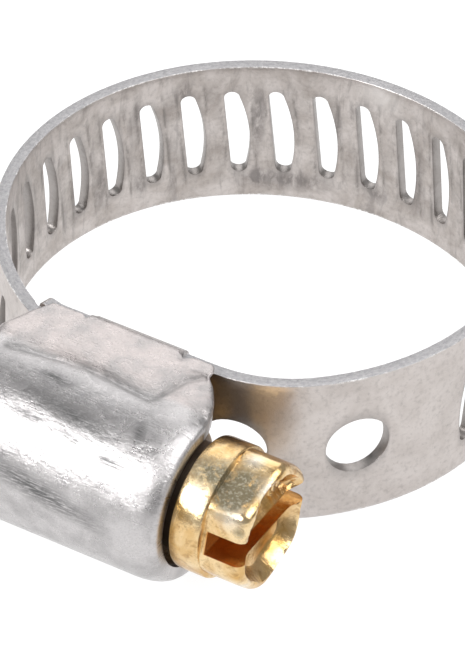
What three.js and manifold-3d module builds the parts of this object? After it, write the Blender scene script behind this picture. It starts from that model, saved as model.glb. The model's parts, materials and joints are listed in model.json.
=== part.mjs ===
// Worm-drive hose clamp at full opening: a slotted spring-steel band closed into a loop by a
// plated worm screw, which turns in a rolled sheet housing folded over the band's captive end.
// Millimetres, +Z up. The loop's axis is Z, and Z = 0 is the middle of the band's width. The
// housing is on the -Y side and the screw's head points along +X.

import * as THREE from 'three';
import { mergeVertices } from 'three/addons/utils/BufferGeometryUtils.js';
import Module from 'manifold-3d';

const wasm = await Module();
wasm.setup();

// Band strip.
const BAND_WIDTH = 7.66;
const BAND_THICKNESS = 0.58;
const LOOP_RADIUS = 12.07; // to the middle of the strip's thickness
const CAPTIVE_DISTANCE = 10.71; // loop axis to the middle of the captive strip
const CAPTIVE_HALF_FLAT = 3.6; // where the captive strip starts to curve
const LIP_ANGLE = 15; // the captive end curls in a little
const LIP_LENGTH = 0.85;
const LIP_RADIUS = 1;
const LIP_END_X = -5.35;
const SAMPLE_STEP = 0.75; // longest facet along a curve

// Way into the housing.
const LOOP_END_ANGLE = 197; // the true circle ends here, counted from +X
const WIDENING_RADIUS = 13.57;
const ENTRY_SLOPE = 33; // against the housing's channel
const ENTRY_BEND_RADIUS = 0.45; // at rest the bend lies in the gap before the tail
const TAIL_DISTANCE = 11.38; // loop axis to the middle of the tail in the channel
const TAIL_TIP_X = 1.1;
const TAIL_CLEARANCE = 0.05; // from the end of the entry bend

// Slots and holes in the band.
const SLOT_PITCH = 2.2;
const SLOT_LENGTH = 4.75;
const SLOT_WIDTH = 1.08; // at mid-length
const SLOT_END_WIDTH = 0.78;
const SLOT_END_RADIUS = 0.3;
const SLOT_LEAN = 6.5; // degrees, the worm's lead angle
const FIRST_SLOT_ANGLE = -10.3; // on the loop, counted from +X
const HOLE_RADIUS = 1.48;
const HOLE_ANGLE = -39.3;
const HOLE_SPACING = 2.5 * SLOT_PITCH;

// The loop is cut in its lands into rigid links, so that it can follow the screw.
const LINK_GAP = 0.3;
const LINK_SLOTS = [3, 3, 3, 3, 3, 3, 4]; // slots in each link of the loop
const ENTRY_SLOTS = [1, 1, 1]; // slots in each link of the way into the housing

// Worm screw.
const SCREW_Y = -14.87;
const SCREW_Z = 0.15;
const THREAD_RADIUS = 3.6;
const ROOT_RADIUS = 2.95;
const THREAD_ROOT_WIDTH = 0.92;
const THREAD_CREST_WIDTH = 0.42;
const THREAD_START_X = -3.9;
const THREAD_END_X = 4.1;
const STEPS_PER_TURN = 32;
const PILOT_RADIUS = 2.2;
const PILOT_START_X = -5.5;
const CORE_START_X = -4.3;
const CORE_END_X = 4.5;
const NECK_RADIUS = 2.85;
const COLLAR_RADIUS = 3.1;
const COLLAR_START_X = 5.95;
const HEX_START_X = 7.25;
const HEAD_END_X = 9.3;
const HEX_CORNER_RADIUS = 3.04;
const HEX_TURN = -15; // degrees about the screw's axis, from a corner pointing up
const SLOT_DEPTH = 1.85;
const DRIVER_SLOT_WIDTH = 1.15;
const DRIVER_SLOT_RISE = 0.33; // above the screw's axis
const CUP_RADIUS = 2.45;
const CUP_DEPTH = 0.5;

// Housing.
const SHEET = 0.42;
const CHEEK_INNER = 3.9; // half the clear width between the cheeks
const CHEEK_OUTER = CHEEK_INNER + SHEET;
const CHEEK_EDGE_Y = -11.05; // the captive strip lies on this edge
const CHEEK_STRAIGHT_Y = -12;
const CHEEK_START_X = -4.5;
const CHEEK_END_X = 4.05;
const BARREL_OUTER = 4.2;
const BARREL_INNER = BARREL_OUTER - SHEET;
const BARREL_HALF_LENGTH = 4.6;
const END_WALL_TOP_Y = -12.2; // the end walls stop short of the band's channel
const END_WALL_REACH = 0.7; // how far the curled ends reach past the barrel
const SCREW_HOLE_RADIUS = 3.2;
const PILOT_HOLE_RADIUS = 2.55;
const TAB_START_X = -2.55;
const TAB_END_X = 2.05;
const TAB_NOTCH = 0.5;
const TAB_CLEARANCE = 0.1;
const TAB_LEG_END = 1.9;
const TAB_FACE_Y = -9.95;

const STEEL = { color: 0xb9b4b1, roughness: 0.38, metalness: 1 };
const PLATED = { color: 0xcfa04a, roughness: 0.3, metalness: 1 };

const radians = THREE.MathUtils.degToRad;

// ---------------------------------------------------------------- solids

function solidOf(geometry) {
  const bare = geometry.index ? geometry.clone() : geometry;
  bare.deleteAttribute('normal');
  bare.deleteAttribute('uv');
  const merged = mergeVertices(bare, 1e-5);
  const mesh = new wasm.Mesh({
    numProp: 3,
    vertProperties: new Float32Array(merged.attributes.position.array),
    triVerts: new Uint32Array(merged.index.array),
  });
  return new wasm.Manifold(mesh);
}

function geometryOf(solid) {
  const mesh = solid.getMesh();
  const geometry = new THREE.BufferGeometry();
  geometry.setAttribute('position', new THREE.BufferAttribute(mesh.vertProperties, 3));
  geometry.setIndex(new THREE.BufferAttribute(mesh.triVerts, 1));
  return geometry;
}

function boxSolid(min, max) {
  const size = max.map((value, axis) => value - min[axis]);
  const middle = max.map((value, axis) => (value + min[axis]) / 2);
  return solidOf(new THREE.BoxGeometry(...size).translate(...middle));
}

// A prism along X whose section is drawn with Y across and Z up.
function prismAlongX(shape, startX, endX) {
  const geometry = new THREE.ExtrudeGeometry(shape, { depth: endX - startX, bevelEnabled: false });
  const axes = new THREE.Matrix4().makeBasis(
    new THREE.Vector3(0, 1, 0),
    new THREE.Vector3(0, 0, 1),
    new THREE.Vector3(1, 0, 0),
  );
  geometry.applyMatrix4(axes);
  geometry.translate(startX, 0, 0);
  return solidOf(geometry);
}

// A body turned about the screw's axis, from a closed profile of [radius, x] points.
function turned(profile, segments) {
  const points = profile.map(([radius, x]) => new THREE.Vector2(radius, x));
  const geometry = new THREE.LatheGeometry(points, segments);
  geometry.rotateZ(-Math.PI / 2);
  geometry.translate(0, SCREW_Y, SCREW_Z);
  return solidOf(geometry);
}

function nodeMesh(name, solid, finish) {
  const mesh = new THREE.Mesh(geometryOf(solid), new THREE.MeshStandardMaterial(finish));
  mesh.name = name;
  return mesh;
}

// ---------------------------------------------------------------- the band's route

// The route follows the middle of the strip from the captive lip round the loop to the tail.
const cornerOffset = (() => {
  const rise = LOOP_RADIUS - CAPTIVE_DISTANCE;
  return (CAPTIVE_HALF_FLAT ** 2 + rise ** 2) / (2 * rise);
})();
const cornerAngle = THREE.MathUtils.radToDeg(Math.asin(CAPTIVE_HALF_FLAT / cornerOffset));
const wideningAngle = 270 - LOOP_END_ANGLE - ENTRY_SLOPE;

function line(length) {
  return { length, curvature: 0 };
}

function arc(radius, angle) {
  return { length: radius * radians(angle), curvature: 1 / radius };
}

const lipRun = LIP_LENGTH * Math.cos(radians(LIP_ANGLE)) + LIP_RADIUS * Math.sin(radians(LIP_ANGLE));
const lipRise = LIP_LENGTH * Math.sin(radians(LIP_ANGLE)) + LIP_RADIUS * (1 - Math.cos(radians(LIP_ANGLE)));

const widenedY = (() => {
  const centreShift = WIDENING_RADIUS - LOOP_RADIUS;
  const centreY = -centreShift * Math.sin(radians(LOOP_END_ANGLE));
  return centreY - WIDENING_RADIUS * Math.cos(radians(ENTRY_SLOPE));
})();
const entryLine = (() => {
  const bendDrop = ENTRY_BEND_RADIUS * (1 - Math.cos(radians(ENTRY_SLOPE)));
  return (widenedY + TAIL_DISTANCE - bendDrop) / Math.sin(radians(ENTRY_SLOPE));
})();

const route = [
  line(LIP_LENGTH),
  arc(LIP_RADIUS, LIP_ANGLE),
  line(CAPTIVE_HALF_FLAT - LIP_END_X - lipRun),
  arc(LOOP_RADIUS - cornerOffset, cornerAngle),
  arc(LOOP_RADIUS, LOOP_END_ANGLE + 90 - cornerAngle),
  arc(WIDENING_RADIUS, wideningAngle),
  line(entryLine),
  arc(ENTRY_BEND_RADIUS, ENTRY_SLOPE),
  line(2 * LOOP_RADIUS),
];
const routeStart = { x: LIP_END_X, y: lipRise - CAPTIVE_DISTANCE, heading: radians(-LIP_ANGLE) };

function advance(place, curvature, length) {
  const heading = place.heading + curvature * length;
  if (curvature === 0) {
    const x = place.x + length * Math.cos(heading);
    const y = place.y + length * Math.sin(heading);
    return { x, y, heading };
  }
  const x = place.x + (Math.sin(heading) - Math.sin(place.heading)) / curvature;
  const y = place.y - (Math.cos(heading) - Math.cos(place.heading)) / curvature;
  return { x, y, heading };
}

// The place on the route at a distance from its start, with its heading.
function placeAt(distance) {
  let place = routeStart;
  let left = distance;
  for (const piece of route) {
    const step = Math.min(left, piece.length);
    place = advance(place, piece.curvature, step);
    left -= step;
    if (left <= 0) break;
  }
  return place;
}

// Distances along the route at which its facets meet, between two ends.
function stations(start, end) {
  const found = [start];
  let pieceStart = 0;
  for (const piece of route) {
    const from = Math.max(start, pieceStart);
    const to = Math.min(end, pieceStart + piece.length);
    if (to > from) {
      const count = piece.curvature === 0 ? 1 : Math.ceil((to - from) / SAMPLE_STEP);
      for (let index = 1; index <= count; index += 1) {
        found.push(from + ((to - from) * index) / count);
      }
    }
    pieceStart += piece.length;
  }
  return found;
}

// The point beside the route, inside the loop for a positive offset.
function beside(distance, offset) {
  const { x, y, heading } = placeAt(distance);
  return new THREE.Vector2(x - offset * Math.sin(heading), y + offset * Math.cos(heading));
}

function stripSolid(start, end) {
  const cuts = stations(start, end);
  const inner = cuts.map((distance) => beside(distance, BAND_THICKNESS / 2));
  const outer = cuts.map((distance) => beside(distance, -BAND_THICKNESS / 2));
  const shape = new THREE.Shape([...outer, ...inner.reverse()]);
  const geometry = new THREE.ExtrudeGeometry(shape, { depth: BAND_WIDTH, bevelEnabled: false });
  geometry.translate(0, 0, -BAND_WIDTH / 2);
  return solidOf(geometry);
}

// A cutter that goes through the strip at a distance, drawn with the strip's length across.
function cutterAt(shape, distance) {
  const depth = 3 * BAND_THICKNESS;
  const geometry = new THREE.ExtrudeGeometry(shape, { depth, bevelEnabled: false, curveSegments: 6 });
  geometry.translate(0, 0, -depth / 2);
  const { x, y, heading } = placeAt(distance);
  const along = new THREE.Vector3(Math.cos(heading), Math.sin(heading), 0);
  const across = new THREE.Vector3(0, 0, 1);
  const outward = new THREE.Vector3().crossVectors(along, across);
  geometry.applyMatrix4(new THREE.Matrix4().makeBasis(along, across, outward));
  geometry.translate(x, y, 0);
  return solidOf(geometry);
}

// A slot is straight on the side of the band's tail and bulges towards its captive end.
function slotShape() {
  const halfLength = SLOT_LENGTH / 2;
  const shoulder = halfLength - SLOT_END_RADIUS;
  const straight = SLOT_WIDTH / 2;
  const bulgeEnd = straight - SLOT_END_WIDTH;
  const lean = Math.tan(radians(SLOT_LEAN));
  const at = (across, up) => [across + lean * up, up];
  const shape = new THREE.Shape();
  shape.moveTo(...at(straight, -shoulder));
  shape.lineTo(...at(straight, shoulder));
  shape.quadraticCurveTo(...at(straight, halfLength), ...at(straight - SLOT_END_WIDTH / 2, halfLength));
  shape.quadraticCurveTo(...at(bulgeEnd, halfLength), ...at(bulgeEnd, shoulder));
  const bulgeControl = straight - 2 * SLOT_WIDTH + SLOT_END_WIDTH;
  shape.quadraticCurveTo(...at(bulgeControl, 0), ...at(bulgeEnd, -shoulder));
  shape.quadraticCurveTo(...at(bulgeEnd, -halfLength), ...at(straight - SLOT_END_WIDTH / 2, -halfLength));
  shape.quadraticCurveTo(...at(straight, -halfLength), ...at(straight, -shoulder));
  return shape;
}

function holeShape() {
  const shape = new THREE.Shape();
  shape.absarc(0, 0, HOLE_RADIUS, 0, 2 * Math.PI);
  return shape;
}

// Distances along the route of the loop's start, the first slot and the straight channel.
const loopStart = route.slice(0, 4).reduce((sum, piece) => sum + piece.length, 0);
const channelStart = route.slice(0, 8).reduce((sum, piece) => sum + piece.length, 0);

function distanceAtAngle(angle) {
  return loopStart + LOOP_RADIUS * radians(angle + 90 - cornerAngle);
}

const firstSlot = distanceAtAngle(FIRST_SLOT_ANGLE);
const tailTip = channelStart + TAIL_TIP_X - placeAt(channelStart).x;

function slotDistance(number) {
  return firstSlot + number * SLOT_PITCH;
}

function slottedStrip(start, end, firstNumber, count) {
  let solid = stripSolid(start, end);
  for (let number = firstNumber; number < firstNumber + count; number += 1) {
    solid = solid.subtract(cutterAt(slotShape(), slotDistance(number)));
  }
  return solid;
}

// ---------------------------------------------------------------- band

function captiveBand() {
  const end = firstSlot - SLOT_PITCH / 2 - LINK_GAP / 2;
  let solid = stripSolid(0, end);
  const outerHole = distanceAtAngle(HOLE_ANGLE);
  for (const distance of [outerHole - HOLE_SPACING, outerHole]) {
    solid = solid.subtract(cutterAt(holeShape(), distance));
  }
  // The tabs pass the strip's edges in notches.
  const halfWidth = BAND_WIDTH / 2;
  const notchDepth = 2 * BAND_THICKNESS;
  for (const side of [-1, 1]) {
    const edges = [side * (halfWidth - TAB_NOTCH), side * (halfWidth + 1)].sort((a, b) => a - b);
    const min = [TAB_START_X - TAB_CLEARANCE, -CAPTIVE_DISTANCE - notchDepth, edges[0]];
    const max = [TAB_END_X + TAB_CLEARANCE, -CAPTIVE_DISTANCE + notchDepth, edges[1]];
    solid = solid.subtract(boxSolid(min, max));
  }
  return nodeMesh('band_captive', solid, STEEL);
}

function bandLinks() {
  const links = [];
  let number = 0;
  const sets = [
    { name: 'band_link', counts: LINK_SLOTS },
    { name: 'band_entry', counts: ENTRY_SLOTS },
  ];
  for (const { name, counts } of sets) {
    counts.forEach((count, index) => {
      const start = slotDistance(number - 0.5) + LINK_GAP / 2;
      const end = slotDistance(number + count - 0.5) - LINK_GAP / 2;
      const solid = slottedStrip(start, end, number, count);
      links.push(nodeMesh(`${name}_${index + 1}`, solid, STEEL));
      number += count;
    });
  }
  return links;
}

const tailFirstSlot = [...LINK_SLOTS, ...ENTRY_SLOTS].reduce((sum, count) => sum + count, 0);

function bandTail() {
  const start = channelStart + TAIL_CLEARANCE;
  const count = Math.floor((tailTip - start) / SLOT_PITCH + 0.5);
  return nodeMesh('band_tail', slottedStrip(start, tailTip, tailFirstSlot, count), STEEL);
}

// ---------------------------------------------------------------- screw

// The thread is a straight bar of trapezium section wound onto the core. It passes through
// the middle of the tail's slots on the band's side of the screw.
function threadSolid() {
  const sunk = ROOT_RADIUS - 0.2;
  const section = new THREE.Shape([
    new THREE.Vector2(-THREAD_ROOT_WIDTH / 2, sunk),
    new THREE.Vector2(THREAD_ROOT_WIDTH / 2, sunk),
    new THREE.Vector2(THREAD_CREST_WIDTH / 2, THREAD_RADIUS),
    new THREE.Vector2(-THREAD_CREST_WIDTH / 2, THREAD_RADIUS),
  ]);
  const length = THREAD_END_X - THREAD_START_X;
  const turns = length / SLOT_PITCH;
  const steps = Math.ceil(turns * STEPS_PER_TURN);
  const geometry = new THREE.ExtrudeGeometry(section, { depth: length, steps, bevelEnabled: false });
  const meshX = placeAt(slotDistance(tailFirstSlot)).x + SCREW_Z * Math.tan(radians(SLOT_LEAN));
  const position = geometry.attributes.position;
  for (let index = 0; index < position.count; index += 1) {
    const radius = position.getY(index);
    const x = THREAD_START_X + position.getZ(index);
    const angle = (2 * Math.PI * (x - meshX)) / SLOT_PITCH;
    const y = SCREW_Y + radius * Math.cos(angle);
    const z = SCREW_Z + radius * Math.sin(angle);
    position.setXYZ(index, x + position.getX(index), y, z);
  }
  return solidOf(geometry);
}

function screw() {
  const coreProfile = [
    [0, PILOT_START_X],
    [PILOT_RADIUS, PILOT_START_X],
    [PILOT_RADIUS, CORE_START_X],
    [ROOT_RADIUS, CORE_START_X],
    [ROOT_RADIUS, CORE_END_X],
    [NECK_RADIUS, CORE_END_X],
    [NECK_RADIUS, COLLAR_START_X],
    [COLLAR_RADIUS - 0.12, COLLAR_START_X],
    [COLLAR_RADIUS, COLLAR_START_X + 0.12],
    [COLLAR_RADIUS, HEX_START_X],
    [0, HEX_START_X],
  ];
  const hexLength = HEAD_END_X - HEX_START_X;
  const hex = new THREE.CylinderGeometry(HEX_CORNER_RADIUS, HEX_CORNER_RADIUS, hexLength + 0.2, 6);
  hex.rotateZ(-Math.PI / 2);
  hex.rotateX(radians(HEX_TURN));
  hex.translate(HEX_START_X + hexLength / 2 - 0.1, SCREW_Y, SCREW_Z);
  const cupProfile = [
    [0, HEAD_END_X - CUP_DEPTH],
    [CUP_RADIUS, HEAD_END_X],
    [CUP_RADIUS, HEAD_END_X + 1],
    [0, HEAD_END_X + 1],
  ];
  const slotMiddle = SCREW_Z + DRIVER_SLOT_RISE;
  const slotMin = [HEAD_END_X - SLOT_DEPTH, SCREW_Y - 4, slotMiddle - DRIVER_SLOT_WIDTH / 2];
  const slotMax = [HEAD_END_X + 1, SCREW_Y + 4, slotMiddle + DRIVER_SLOT_WIDTH / 2];
  const solid = turned(coreProfile, 40)
    .add(threadSolid())
    .add(solidOf(hex))
    .subtract(turned(cupProfile, 24))
    .subtract(boxSolid(slotMin, slotMax));
  return nodeMesh('screw', solid, PLATED);
}

// ---------------------------------------------------------------- housing

// Sheet between two outlines that are mirror images in Z, except for the barrel's offset.
function shellShape() {
  const flatMeets = (radius, level) => Math.sqrt(radius ** 2 - (level - SCREW_Z) ** 2);
  const shape = new THREE.Shape();
  const startOuter = Math.atan2(CHEEK_OUTER - SCREW_Z, flatMeets(BARREL_OUTER, CHEEK_OUTER));
  const startInner = Math.atan2(CHEEK_INNER - SCREW_Z, flatMeets(BARREL_INNER, CHEEK_INNER));
  const end = radians(-85);
  shape.moveTo(CHEEK_EDGE_Y, CHEEK_OUTER);
  shape.absarc(SCREW_Y, SCREW_Z, BARREL_OUTER, startOuter, end, false);
  shape.lineTo(CHEEK_STRAIGHT_Y, -CHEEK_OUTER);
  shape.lineTo(CHEEK_EDGE_Y, -CHEEK_OUTER);
  shape.lineTo(CHEEK_EDGE_Y, -CHEEK_INNER);
  shape.lineTo(CHEEK_STRAIGHT_Y, -CHEEK_INNER);
  shape.absarc(SCREW_Y, SCREW_Z, BARREL_INNER, end, startInner, true);
  shape.lineTo(CHEEK_EDGE_Y, CHEEK_INNER);
  return shape;
}

// One tab leaves a cheek, passes the captive strip's edge in its notch and folds down.
function tabShape(side) {
  const notchFloor = BAND_WIDTH / 2 - TAB_NOTCH + TAB_CLEARANCE;
  const foldTop = notchFloor + SHEET;
  const legBack = TAB_FACE_Y - SHEET;
  const outline = [
    [CHEEK_EDGE_Y - 0.4, CHEEK_INNER],
    [CHEEK_EDGE_Y - 0.05, CHEEK_INNER],
    [CHEEK_EDGE_Y + 0.2, notchFloor],
    [legBack, notchFloor],
    [legBack, TAB_LEG_END],
    [TAB_FACE_Y, TAB_LEG_END],
    [TAB_FACE_Y, foldTop - 0.25],
    [TAB_FACE_Y - 0.25, foldTop],
    [CHEEK_EDGE_Y + 0.3, foldTop + 0.05],
    [CHEEK_EDGE_Y - 0.4, CHEEK_OUTER],
  ];
  return new THREE.Shape(outline.map(([y, z]) => new THREE.Vector2(y, side * z)));
}

// The barrel's end curls in round the screw's neck or pilot.
function curledEnd(direction, holeRadius) {
  const start = BARREL_HALF_LENGTH - END_WALL_REACH;
  const end = BARREL_HALF_LENGTH + END_WALL_REACH;
  const curl = (radius) => {
    const points = [];
    for (let step = 0; step <= 4; step += 1) {
      const angle = (step / 4) * (Math.PI / 2);
      const reach = radius - BARREL_OUTER + END_WALL_REACH;
      const x = BARREL_HALF_LENGTH + reach * Math.sin(angle);
      points.push([BARREL_OUTER - END_WALL_REACH + reach * Math.cos(angle), x]);
    }
    return points;
  };
  const profile = [
    [BARREL_INNER, start],
    [BARREL_OUTER, start],
    ...curl(BARREL_OUTER),
    [holeRadius, end],
    [holeRadius, end - SHEET],
    ...curl(BARREL_INNER).reverse(),
    [BARREL_INNER, start],
  ].map(([radius, x]) => [radius, direction * x]);
  const ring = turned(direction > 0 ? profile : profile.reverse(), 48);
  const reach = BARREL_OUTER + 1;
  const below = boxSolid(
    [-2 * end, SCREW_Y - reach, SCREW_Z - reach],
    [2 * end, END_WALL_TOP_Y, SCREW_Z + reach],
  );
  return ring.intersect(below);
}

function housing() {
  const shell = prismAlongX(shellShape(), -BARREL_HALF_LENGTH, BARREL_HALF_LENGTH);
  // The cheeks are a little shorter than the barrel.
  const cheekLevel = SCREW_Y + 0.9;
  const trims = [
    boxSolid([CHEEK_END_X, cheekLevel, -6], [6, CHEEK_EDGE_Y + 1, 6]),
    boxSolid([-6, cheekLevel, -6], [CHEEK_START_X, CHEEK_EDGE_Y + 1, 6]),
  ];
  let solid = trims.reduce((left, trim) => left.subtract(trim), shell);
  for (const side of [-1, 1]) {
    solid = solid.add(prismAlongX(tabShape(side), TAB_START_X, TAB_END_X));
  }
  solid = solid.add(curledEnd(1, SCREW_HOLE_RADIUS)).add(curledEnd(-1, PILOT_HOLE_RADIUS));
  return nodeMesh('housing', solid, STEEL);
}

const group = new THREE.Group();
group.add(housing(), screw(), captiveBand(), ...bandLinks(), bandTail());

export default group;
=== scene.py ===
import json
import math

import bmesh
import bpy
from mathutils import Matrix, Vector


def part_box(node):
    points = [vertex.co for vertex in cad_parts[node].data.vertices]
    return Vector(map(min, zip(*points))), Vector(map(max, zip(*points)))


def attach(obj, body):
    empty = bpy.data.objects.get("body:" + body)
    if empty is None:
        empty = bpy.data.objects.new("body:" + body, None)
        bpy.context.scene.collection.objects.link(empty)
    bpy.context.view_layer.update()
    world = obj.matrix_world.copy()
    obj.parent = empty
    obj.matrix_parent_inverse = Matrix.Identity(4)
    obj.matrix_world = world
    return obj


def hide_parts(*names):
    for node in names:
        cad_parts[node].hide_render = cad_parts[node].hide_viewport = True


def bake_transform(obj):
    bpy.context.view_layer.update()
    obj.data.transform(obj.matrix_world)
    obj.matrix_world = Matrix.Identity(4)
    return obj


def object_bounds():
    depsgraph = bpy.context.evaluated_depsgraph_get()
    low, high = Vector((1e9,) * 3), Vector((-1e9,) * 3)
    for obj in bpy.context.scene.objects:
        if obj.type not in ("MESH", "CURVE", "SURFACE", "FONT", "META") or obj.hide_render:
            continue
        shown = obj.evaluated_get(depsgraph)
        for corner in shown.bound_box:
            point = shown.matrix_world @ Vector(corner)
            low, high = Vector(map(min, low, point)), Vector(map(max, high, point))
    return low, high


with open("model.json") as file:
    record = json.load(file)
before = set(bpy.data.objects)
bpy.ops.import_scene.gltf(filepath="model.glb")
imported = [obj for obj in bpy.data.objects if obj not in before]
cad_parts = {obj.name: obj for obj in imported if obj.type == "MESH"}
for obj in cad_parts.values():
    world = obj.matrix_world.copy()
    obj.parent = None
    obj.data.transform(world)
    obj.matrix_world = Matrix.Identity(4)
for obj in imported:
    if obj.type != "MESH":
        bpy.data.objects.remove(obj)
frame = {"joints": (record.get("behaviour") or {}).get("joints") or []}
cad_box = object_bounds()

MM = 0.001

# ---------------------------------------------------------------- band: the strip's route
# The band is one strip of stainless spring steel, slit to width, punched and rolled into a
# loop. Its middle line runs from the curled captive end round the loop and into the housing.

hinges = {j["name"]: Vector(j["pos_m"]) for j in frame["joints"] if "pos_m" in j}
tail_low, tail_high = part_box("band_tail")
STRIP = tail_high[1] - tail_low[1]
WIDTH = tail_high[2] - tail_low[2]
TAIL_Y = (tail_high[1] + tail_low[1]) / 2
LOOP_RADIUS = hinges["link_3_bend"].length
PITCH = 2.2 * MM
CAPTIVE_Y = -10.71 * MM
HALF_FLAT = 3.6 * MM
LIP_X = -5.35 * MM
LIP_LENGTH = 0.85 * MM
LIP_RADIUS = 1.0 * MM
LIP_ANGLE = math.radians(15)
LOOP_END = math.radians(197)
WIDENING_RADIUS = 13.57 * MM
ENTRY_SLOPE = math.radians(33)
ENTRY_BEND = 0.45 * MM
FIRST_SLOT = math.radians(-10.3)

rise = LOOP_RADIUS + CAPTIVE_Y
corner_offset = (HALF_FLAT**2 + rise**2) / (2 * rise)
corner = math.asin(HALF_FLAT / corner_offset)
lip_run = LIP_LENGTH * math.cos(LIP_ANGLE) + LIP_RADIUS * math.sin(LIP_ANGLE)
lip_rise = LIP_LENGTH * math.sin(LIP_ANGLE) + LIP_RADIUS * (1 - math.cos(LIP_ANGLE))
widened_y = (LOOP_RADIUS - WIDENING_RADIUS) * math.sin(LOOP_END) - WIDENING_RADIUS * math.cos(ENTRY_SLOPE)
bend_drop = ENTRY_BEND * (1 - math.cos(ENTRY_SLOPE))
entry_line = (widened_y - TAIL_Y - bend_drop) / math.sin(ENTRY_SLOPE)

# Each stretch of the route is a length and a curvature.
ROUTE = [
    (LIP_LENGTH, 0),
    (LIP_RADIUS * LIP_ANGLE, 1 / LIP_RADIUS),
    (HALF_FLAT - LIP_X - lip_run, 0),
    ((LOOP_RADIUS - corner_offset) * corner, 1 / (LOOP_RADIUS - corner_offset)),
    (LOOP_RADIUS * (LOOP_END + math.pi / 2 - corner), 1 / LOOP_RADIUS),
    (WIDENING_RADIUS * (3 * math.pi / 2 - LOOP_END - ENTRY_SLOPE), 1 / WIDENING_RADIUS),
    (entry_line, 0),
    (ENTRY_BEND * ENTRY_SLOPE, 1 / ENTRY_BEND),
    (20 * MM, 0),
]
loop_start = sum(length for length, _ in ROUTE[:4])
channel_start = sum(length for length, _ in ROUTE[:8])
first_slot = loop_start + LOOP_RADIUS * (FIRST_SLOT + math.pi / 2 - corner)


def place_on_route(distance):
    """The point on the route at a distance from its start, and its heading."""
    x, y, heading = LIP_X, CAPTIVE_Y + lip_rise, -LIP_ANGLE
    left = distance
    for index, (length, curvature) in enumerate(ROUTE):
        step = left if index == 0 and left < 0 else min(left, length)
        turned = heading + curvature * step
        if curvature:
            x += (math.sin(turned) - math.sin(heading)) / curvature
            y -= (math.cos(turned) - math.cos(heading)) / curvature
        else:
            x += step * math.cos(heading)
            y += step * math.sin(heading)
        heading = turned
        left -= step
        if left <= 0:
            break
    return x, y, heading


def on_strip(flat):
    """A point of the flat strip (along, out of the loop, up) taken to its place on the route."""
    x, y, heading = place_on_route(flat.x)
    return Vector((x + flat.y * math.sin(heading), y - flat.y * math.cos(heading), flat.z))


def slot_at(number):
    return first_slot + number * PITCH


# ---------------------------------------------------------------- band: punched strip
# The strip is punched flat: leaning slots with one bulging side, which the worm drives, and
# two round holes by the captive end. The press leaves a small rolled edge on every outline.

SLOT_HALF = 2.375 * MM
SLOT_LEAN = math.tan(math.radians(6.5))
EDGE_ROLL = 0.055 * MM
ACROSS = 16  # faces over the strip's width
ALONG = 8  # faces along one punched cell
HALF_WIDTH = WIDTH / 2


def along_side(side, part):
    """A point of the unit square's outline: side 0 is its right, 1 its top, 2 its left, 3 its foot."""
    run = 2 * part - 1
    return [(1, run), (-run, 1), (-1, -run), (run, -1)][side]


def slot_outline(side, part):
    straight, narrow, end_radius = 0.54 * MM, 0.39 * MM, 0.34 * MM
    shoulder = SLOT_HALF - end_radius
    u, v = along_side(side, part)
    if side == 0:
        across, up = straight, v * shoulder
    elif side == 2:
        up = v * shoulder
        across = straight - 2 * narrow - 0.3 * MM * (1 - v * v)
    else:
        turn = u * math.pi / 2
        across = straight - narrow + narrow * math.sin(turn)
        up = v * (shoulder + end_radius * math.cos(turn))
    return across + SLOT_LEAN * up, up


def hole_outline(side, part):
    radius = 1.48 * MM
    turn = (side - 0.5 + part) * math.pi / 2
    return radius * math.cos(turn), radius * math.sin(turn)


def punched_cell(mesh, start, end, outline, middle):
    """One cell of the flat strip, with the outline's opening at its middle."""
    count = 2 * (ACROSS + ALONG)
    sides = [(side, step / n) for side, n in enumerate((ACROSS, ALONG, ACROSS, ALONG)) for step in range(n)]
    rims = []
    for border in (True, False):
        rim = bmesh.ops.create_circle(mesh, segments=count, radius=1)["verts"]
        for vert, (side, part) in zip(rim, sides):
            if border:
                u, v = along_side(side, part)
                vert.co = Vector(((start + end) / 2 + u * (end - start) / 2, 0, v * HALF_WIDTH))
            else:
                across, up = outline(side, part)
                vert.co = Vector((middle + across, 0, up))
        rims.append(rim)
    edges = [edge for edge in mesh.edges if all(v in rims[0] or v in rims[1] for v in edge.verts)]
    made = bmesh.ops.bridge_loops(mesh, edges=edges)
    spokes = [e for e in made["edges"] if e not in edges]
    bmesh.ops.subdivide_edges(mesh, edges=spokes, cuts=3, use_grid_fill=True)


def plain_cell(mesh, start, end, step=0.25 * MM):
    count = max(1, round((end - start) / step))
    grid = bmesh.ops.create_grid(mesh, x_segments=count, y_segments=ACROSS, size=0.5)["verts"]
    for vert in grid:
        vert.co = Vector((start + (vert.co.x + 0.5) * (end - start), 0, 2 * vert.co.y * HALF_WIDTH))


def notch(mesh, start, end, depth):
    """Cuts both edges of the flat strip back over a stretch."""
    level = HALF_WIDTH - depth
    along, up = (1, 0, 0), (0, 0, 1)
    cuts = [((start, 0, 0), along), ((end, 0, 0), along), ((0, 0, level), up), ((0, 0, -level), up)]
    for point, normal in cuts:
        near = [f for f in mesh.faces if start - MM < f.calc_center_median().x < end + MM]
        geometry = near + list({e for f in near for e in f.edges}) + list({v for f in near for v in f.verts})
        bmesh.ops.bisect_plane(mesh, geom=geometry, dist=1e-7, plane_co=point, plane_no=normal)
    gone = []
    for face in mesh.faces:
        middle = face.calc_center_median()
        if start < middle.x < end and abs(middle.z) > level:
            gone.append(face)
    bmesh.ops.delete(mesh, geom=gone, context="FACES")


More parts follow.
